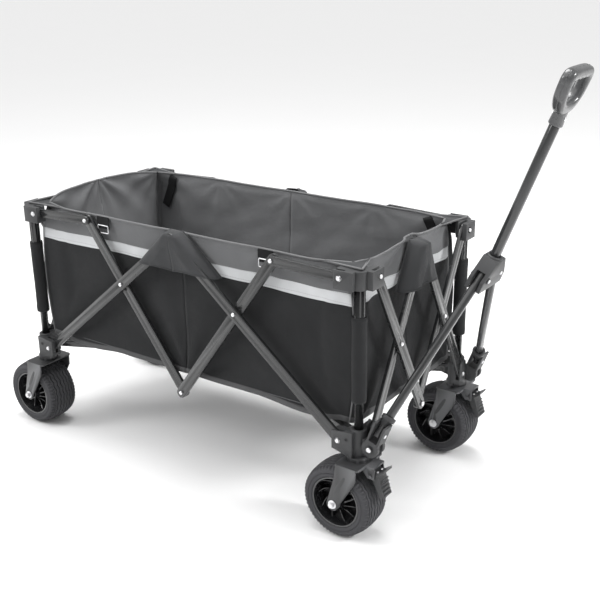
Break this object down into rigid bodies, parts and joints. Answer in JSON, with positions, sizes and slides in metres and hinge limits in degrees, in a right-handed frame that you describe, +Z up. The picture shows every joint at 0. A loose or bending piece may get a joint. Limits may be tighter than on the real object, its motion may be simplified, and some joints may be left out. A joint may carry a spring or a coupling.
{
  "type": "folding wagon with pull handle",
  "caption": "Folding utility wagon: fabric basket in a scissor frame on wide wheels, with swivel front casters and a swinging pull handle.",
  "frame": {"origin": "under the middle of the whole object's outer box, on the floor that the wheels stand on", "axes": "+X forward to the handle, +Y to the left, +Z up"},
  "size_m": [1.4032, 0.557, 0.9768],
  "materials": {
    "frame_steel": "dark grey powder coat, satin",
    "fork_steel": "dark grey powder coat, satin",
    "bracket_plastic": "dark grey moulded nylon",
    "bright_zinc": "bright zinc plate",
    "tyre_rubber": "dark grey rubber",
    "rim_plastic": "black moulded plastic",
    "fabric": "coated woven polyester, black below and grey above",
    "grip_plastic": "dark grey moulded plastic"
  },
  "bodies": {
    "root": {"basket": "fabric", "floor_hub": "frame_steel"},
    "front_end": {"end_pivot_front": "bright_zinc"},
    "rear_end": {"end_pivot_rear": "bright_zinc"},
    "corner_front_left": {"corner_bracket_front_left": "bracket_plastic"},
    "upper_front_left": {"top_post_front_left": "frame_steel"},
    "side_bar_front_left": {"side_bar_front_left": "frame_steel"},
    "side_brace_front_left": {"side_brace_front_left": "frame_steel"},
    "rail_link_front_left": {"rail_link_front_left": "frame_steel"},
    "end_low_bar_front_left": {"end_low_bar_front_left": "frame_steel"},
    "end_high_bar_front_left": {"end_high_bar_front_left": "frame_steel"},
    "floor_strut_front_left": {"floor_strut_front_left": "frame_steel"},
    "wheel_front_left": {"tyre_front_left": "tyre_rubber", "rim_front_left": "rim_plastic"},
    "caster_front_left": {"fork_front_left": "fork_steel"},
    "brake_front_left": {"brake_front_left": "bracket_plastic"},
    "corner_front_right": {"corner_bracket_front_right": "bracket_plastic"},
    "upper_front_right": {"top_post_front_right": "frame_steel"},
    "side_bar_front_right": {"side_bar_front_right": "frame_steel"},
    "side_brace_front_right": {"side_brace_front_right": "frame_steel"},
    "rail_link_front_right": {"rail_link_front_right": "frame_steel"},
    "end_low_bar_front_right": {"end_low_bar_front_right": "frame_steel"},
    "end_high_bar_front_right": {"end_high_bar_front_right": "frame_steel"},
    "floor_strut_front_right": {"floor_strut_front_right": "frame_steel"},
    "wheel_front_right": {"tyre_front_right": "tyre_rubber", "rim_front_right": "rim_plastic"},
    "caster_front_right": {"fork_front_right": "fork_steel"},
    "brake_front_right": {"brake_front_right": "bracket_plastic"},
    "corner_rear_left": {"corner_bracket_rear_left": "bracket_plastic", "fork_rear_left": "fork_steel"},
    "upper_rear_left": {"top_post_rear_left": "frame_steel"},
    "side_bar_rear_left": {"side_bar_rear_left": "frame_steel"},
    "side_brace_rear_left": {"side_brace_rear_left": "frame_steel"},
    "rail_link_rear_left": {"rail_link_rear_left": "frame_steel"},
    "end_low_bar_rear_left": {"end_low_bar_rear_left": "frame_steel"},
    "end_high_bar_rear_left": {"end_high_bar_rear_left": "frame_steel"},
    "floor_strut_rear_left": {"floor_strut_rear_left": "frame_steel"},
    "wheel_rear_left": {"tyre_rear_left": "tyre_rubber", "rim_rear_left": "rim_plastic"},
    "corner_rear_right": {"corner_bracket_rear_right": "bracket_plastic", "fork_rear_right": "fork_steel"},
    "upper_rear_right": {"top_post_rear_right": "frame_steel"},
    "side_bar_rear_right": {"side_bar_rear_right": "frame_steel"},
    "side_brace_rear_right": {"side_brace_rear_right": "frame_steel"},
    "rail_link_rear_right": {"rail_link_rear_right": "frame_steel"},
    "end_low_bar_rear_right": {"end_low_bar_rear_right": "frame_steel"},
    "end_high_bar_rear_right": {"end_high_bar_rear_right": "frame_steel"},
    "floor_strut_rear_right": {"floor_strut_rear_right": "frame_steel"},
    "wheel_rear_right": {"tyre_rear_right": "tyre_rubber", "rim_rear_right": "rim_plastic"},
    "knuckle_left": {"handle_knuckle_left": "bracket_plastic"},
    "leg_left": {"handle_leg_left": "frame_steel"},
    "knuckle_right": {"handle_knuckle_right": "bracket_plastic"},
    "leg_right": {"handle_leg_right": "frame_steel"},
    "handle": {"handle_junction": "bracket_plastic", "draw_tube": "frame_steel", "grip": "grip_plastic"}
  },
  "joints": [
    {"name": "fold", "type": "slide", "parent": "root", "child": "front_end", "axis": [-1, 0, 0], "range_m": [0, 0.34128], "deforming": ["basket"]},
    {"name": "rear_fold", "type": "slide", "parent": "root", "child": "rear_end", "axis": [1, 0, 0], "range_m": [0, 0.3413]},
    {"name": "narrow_front_left", "type": "slide", "parent": "front_end", "child": "corner_front_left", "axis": [0, -1, 0], "range_m": [0, 0.13703]},
    {"name": "lift_front_left", "type": "slide", "parent": "corner_front_left", "child": "upper_front_left", "axis": [0, 0, 1], "range_m": [0, 0.04542]},
    {"name": "side_bar_turn_front_left", "type": "hinge", "parent": "corner_front_left", "child": "side_bar_front_left", "pos_m": [0.33041, 0.221, 0.223], "axis": [0, 1, 0], "range_deg": [0, 40.73]},
    {"name": "side_brace_turn_front_left", "type": "hinge", "parent": "side_bar_front_left", "child": "side_brace_front_left", "pos_m": [0.06241, 0.221, 0.44227], "axis": [0, -1, 0], "range_deg": [0, 69.58]},
    {"name": "rail_link_turn_front_left", "type": "hinge", "parent": "upper_front_left", "child": "rail_link_front_left", "pos_m": [0.33341, 0.221, 0.576], "axis": [0, 1, 0], "range_deg": [0, 68.87]},
    {"name": "end_low_bar_turn_front_left", "type": "hinge", "parent": "corner_front_left", "child": "end_low_bar_front_left", "pos_m": [0.36541, 0.193, 0.223], "axis": [-1, 0, 0], "range_deg": [0, 20.69]},
    {"name": "end_high_bar_turn_front_left", "type": "hinge", "parent": "end_low_bar_front_left", "child": "end_high_bar_front_left", "pos_m": [0.36541, 0.0965, 0.3995], "axis": [1, 0, 0], "range_deg": [0, 41.35]},
    {"name": "floor_strut_turn_front_left", "type": "hinge", "parent": "corner_front_left", "child": "floor_strut_front_left", "pos_m": [0.33541, 0.2, 0.223], "axis": [-0.4099, 0.9121, 0], "range_deg": [0, 88.02]},
    {"name": "caster_swivel_front_left", "type": "hinge", "parent": "corner_front_left", "child": "caster_front_left", "pos_m": [0.36541, 0.221, 0.191], "axis": [0, 0, 1], "continuous": true},
    {"name": "wheel_spin_front_left", "type": "hinge", "parent": "caster_front_left", "child": "wheel_front_left", "pos_m": [0.33241, 0.221, 0.084], "axis": [0, 1, 0], "continuous": true},
    {"name": "brake_press_front_left", "type": "hinge", "parent": "caster_front_left", "child": "brake_front_left", "pos_m": [0.40741, 0.221, 0.162], "axis": [0, 1, 0], "range_deg": [0, 12]},
    {"name": "narrow_front_right", "type": "slide", "parent": "front_end", "child": "corner_front_right", "axis": [0, 1, 0], "range_m": [0, 0.13703]},
    {"name": "lift_front_right", "type": "slide", "parent": "corner_front_right", "child": "upper_front_right", "axis": [0, 0, 1], "range_m": [0, 0.04542]},
    {"name": "side_bar_turn_front_right", "type": "hinge", "parent": "corner_front_right", "child": "side_bar_front_right", "pos_m": [0.33041, -0.221, 0.223], "axis": [0, 1, 0], "range_deg": [0, 40.73]},
    {"name": "side_brace_turn_front_right", "type": "hinge", "parent": "side_bar_front_right", "child": "side_brace_front_right", "pos_m": [0.06241, -0.221, 0.44227], "axis": [0, -1, 0], "range_deg": [0, 69.58]},
    {"name": "rail_link_turn_front_right", "type": "hinge", "parent": "upper_front_right", "child": "rail_link_front_right", "pos_m": [0.33341, -0.221, 0.576], "axis": [0, 1, 0], "range_deg": [0, 68.87]},
    {"name": "end_low_bar_turn_front_right", "type": "hinge", "parent": "corner_front_right", "child": "end_low_bar_front_right", "pos_m": [0.36541, -0.193, 0.223], "axis": [1, 0, 0], "range_deg": [0, 20.69]},
    {"name": "end_high_bar_turn_front_right", "type": "hinge", "parent": "end_low_bar_front_right", "child": "end_high_bar_front_right", "pos_m": [0.36541, -0.0965, 0.3995], "axis": [-1, 0, 0], "range_deg": [0, 41.35]},
    {"name": "floor_strut_turn_front_right", "type": "hinge", "parent": "corner_front_right", "child": "floor_strut_front_right", "pos_m": [0.33541, -0.2, 0.223], "axis": [0.4099, 0.9121, 0], "range_deg": [0, 88.02]},
    {"name": "caster_swivel_front_right", "type": "hinge", "parent": "corner_front_right", "child": "caster_front_right", "pos_m": [0.36541, -0.221, 0.191], "axis": [0, 0, 1], "continuous": true},
    {"name": "wheel_spin_front_right", "type": "hinge", "parent": "caster_front_right", "child": "wheel_front_right", "pos_m": [0.33241, -0.221, 0.084], "axis": [0, 1, 0], "continuous": true},
    {"name": "brake_press_front_right", "type": "hinge", "parent": "caster_front_right", "child": "brake_front_right", "pos_m": [0.40741, -0.221, 0.162], "axis": [0, 1, 0], "range_deg": [0, 12]},
    {"name": "narrow_rear_left", "type": "slide", "parent": "rear_end", "child": "corner_rear_left", "axis": [0, -1, 0], "range_m": [0, 0.13703]},
    {"name": "lift_rear_left", "type": "slide", "parent": "corner_rear_left", "child": "upper_rear_left", "axis": [0, 0, 1], "range_m": [0, 0.04542]},
    {"name": "side_bar_turn_rear_left", "type": "hinge", "parent": "corner_rear_left", "child": "side_bar_rear_left", "pos_m": [-0.54959, 0.221, 0.223], "axis": [0, -1, 0], "range_deg": [0, 40.73]},
    {"name": "side_brace_turn_rear_left", "type": "hinge", "parent": "side_bar_rear_left", "child": "side_brace_rear_left", "pos_m": [-0.28159, 0.221, 0.44227], "axis": [0, 1, 0], "range_deg": [0, 69.58]},
    {"name": "rail_link_turn_rear_left", "type": "hinge", "parent": "upper_rear_left", "child": "rail_link_rear_left", "pos_m": [-0.55259, 0.221, 0.576], "axis": [0, -1, 0], "range_deg": [0, 68.87]},
    {"name": "end_low_bar_turn_rear_left", "type": "hinge", "parent": "corner_rear_left", "child": "end_low_bar_rear_left", "pos_m": [-0.58459, 0.193, 0.223], "axis": [-1, 0, 0], "range_deg": [0, 20.69]},
    {"name": "end_high_bar_turn_rear_left", "type": "hinge", "parent": "end_low_bar_rear_left", "child": "end_high_bar_rear_left", "pos_m": [-0.58459, 0.0965, 0.3995], "axis": [1, 0, 0], "range_deg": [0, 41.35]},
    {"name": "floor_strut_turn_rear_left", "type": "hinge", "parent": "corner_rear_left", "child": "floor_strut_rear_left", "pos_m": [-0.55459, 0.2, 0.223], "axis": [-0.4099, -0.9121, 0], "range_deg": [0, 88.02]},
    {"name": "wheel_spin_rear_left", "type": "hinge", "parent": "corner_rear_left", "child": "wheel_rear_left", "pos_m": [-0.61759, 0.221, 0.084], "axis": [0, 1, 0], "continuous": true},
    {"name": "narrow_rear_right", "type": "slide", "parent": "rear_end", "child": "corner_rear_right", "axis": [0, 1, 0], "range_m": [0, 0.13703]},
    {"name": "lift_rear_right", "type": "slide", "parent": "corner_rear_right", "child": "upper_rear_right", "axis": [0, 0, 1], "range_m": [0, 0.04542]},
    {"name": "side_bar_turn_rear_right", "type": "hinge", "parent": "corner_rear_right", "child": "side_bar_rear_right", "pos_m": [-0.54959, -0.221, 0.223], "axis": [0, -1, 0], "range_deg": [0, 40.73]},
    {"name": "side_brace_turn_rear_right", "type": "hinge", "parent": "side_bar_rear_right", "child": "side_brace_rear_right", "pos_m": [-0.28159, -0.221, 0.44227], "axis": [0, 1, 0], "range_deg": [0, 69.58]},
    {"name": "rail_link_turn_rear_right", "type": "hinge", "parent": "upper_rear_right", "child": "rail_link_rear_right", "pos_m": [-0.55259, -0.221, 0.576], "axis": [0, -1, 0], "range_deg": [0, 68.87]},
    {"name": "end_low_bar_turn_rear_right", "type": "hinge", "parent": "corner_rear_right", "child": "end_low_bar_rear_right", "pos_m": [-0.58459, -0.193, 0.223], "axis": [1, 0, 0], "range_deg": [0, 20.69]},
    {"name": "end_high_bar_turn_rear_right", "type": "hinge", "parent": "end_low_bar_rear_right", "child": "end_high_bar_rear_right", "pos_m": [-0.58459, -0.0965, 0.3995], "axis": [-1, 0, 0], "range_deg": [0, 41.35]},
    {"name": "floor_strut_turn_rear_right", "type": "hinge", "parent": "corner_rear_right", "child": "floor_strut_rear_right", "pos_m": [-0.55459, -0.2, 0.223], "axis": [0.4099, -0.9121, 0], "range_deg": [0, 88.02]},
    {"name": "wheel_spin_rear_right", "type": "hinge", "parent": "corner_rear_right", "child": "wheel_rear_right", "pos_m": [-0.61759, -0.221, 0.084], "axis": [0, 1, 0], "continuous": true},
    {"name": "handle_swing", "type": "hinge", "parent": "corner_front_left", "child": "knuckle_left", "pos_m": [0.40241, 0.224, 0.22], "axis": [0, 1, 0], "range_deg": [-17, 65]},
    {"name": "leg_splay_left", "type": "hinge", "parent": "knuckle_left", "child": "leg_left", "pos_m": [0.41602, 0.224, 0.25548], "axis": [-0.9336, 0, 0.3584], "range_deg": [0, 22.5]},
    {"name": "handle_swing_right", "type": "hinge", "parent": "corner_front_right", "child": "knuckle_right", "pos_m": [0.40241, -0.224, 0.22], "axis": [0, 1, 0], "range_deg": [-17.02, 65.02]},
    {"name": "leg_splay_right", "type": "hinge", "parent": "knuckle_right", "child": "leg_right", "pos_m": [0.41602, -0.224, 0.25548], "axis": [0.9336, 0, -0.3584], "range_deg": [0, 22.5]},
    {"name": "junction_turn", "type": "hinge", "parent": "leg_left", "child": "handle", "pos_m": [0.5307, 0.031, 0.55422], "axis": [0.9336, 0, -0.3584], "range_deg": [0, 22.5]}
  ],
  "couplings": [
    {"joint": "rear_fold", "follows": "fold", "ratio": 1},
    {"joint": "narrow_front_left", "follows": "fold", "ratio": 0.40145},
    {"joint": "lift_front_left", "follows": "fold", "ratio": 0.13303},
    {"joint": "side_bar_turn_front_left", "follows": "fold", "rad_per_m": 2.082},
    {"joint": "side_brace_turn_front_left", "follows": "fold", "rad_per_m": 3.5572},
    {"joint": "rail_link_turn_front_left", "follows": "fold", "rad_per_m": 3.521},
    {"joint": "end_low_bar_turn_front_left", "follows": "fold", "rad_per_m": 1.0569},
    {"joint": "end_high_bar_turn_front_left", "follows": "fold", "rad_per_m": 2.1139},
    {"joint": "floor_strut_turn_front_left", "follows": "fold", "rad_per_m": 4.5004},
    {"joint": "narrow_front_right", "follows": "fold", "ratio": 0.40145},
    {"joint": "lift_front_right", "follows": "fold", "ratio": 0.13303},
    {"joint": "side_bar_turn_front_right", "follows": "fold", "rad_per_m": 2.082},
    {"joint": "side_brace_turn_front_right", "follows": "fold", "rad_per_m": 3.5572},
    {"joint": "rail_link_turn_front_right", "follows": "fold", "rad_per_m": 3.521},
    {"joint": "end_low_bar_turn_front_right", "follows": "fold", "rad_per_m": 1.0569},
    {"joint": "end_high_bar_turn_front_right", "follows": "fold", "rad_per_m": 2.1139},
    {"joint": "floor_strut_turn_front_right", "follows": "fold", "rad_per_m": 4.5004},
    {"joint": "narrow_rear_left", "follows": "fold", "ratio": 0.40145},
    {"joint": "lift_rear_left", "follows": "fold", "ratio": 0.13303},
    {"joint": "side_bar_turn_rear_left", "follows": "fold", "rad_per_m": 2.082},
    {"joint": "side_brace_turn_rear_left", "follows": "fold", "rad_per_m": 3.5572},
    {"joint": "rail_link_turn_rear_left", "follows": "fold", "rad_per_m": 3.521},
    {"joint": "end_low_bar_turn_rear_left", "follows": "fold", "rad_per_m": 1.0569},
    {"joint": "end_high_bar_turn_rear_left", "follows": "fold", "rad_per_m": 2.1139},
    {"joint": "floor_strut_turn_rear_left", "follows": "fold", "rad_per_m": 4.5004},
    {"joint": "narrow_rear_right", "follows": "fold", "ratio": 0.40145},
    {"joint": "lift_rear_right", "follows": "fold", "ratio": 0.13303},
    {"joint": "side_bar_turn_rear_right", "follows": "fold", "rad_per_m": 2.082},
    {"joint": "side_brace_turn_rear_right", "follows": "fold", "rad_per_m": 3.5572},
    {"joint": "rail_link_turn_rear_right", "follows": "fold", "rad_per_m": 3.521},
    {"joint": "end_low_bar_turn_rear_right", "follows": "fold", "rad_per_m": 1.0569},
    {"joint": "end_high_bar_turn_rear_right", "follows": "fold", "rad_per_m": 2.1139},
    {"joint": "floor_strut_turn_rear_right", "follows": "fold", "rad_per_m": 4.5004},
    {"joint": "leg_splay_left", "follows": "fold", "rad_per_m": 1.1495},
    {"joint": "handle_swing_right", "follows": "handle_swing", "ratio": 1},
    {"joint": "leg_splay_right", "follows": "fold", "rad_per_m": 1.1495},
    {"joint": "junction_turn", "follows": "fold", "rad_per_m": 1.1495}
  ]
}
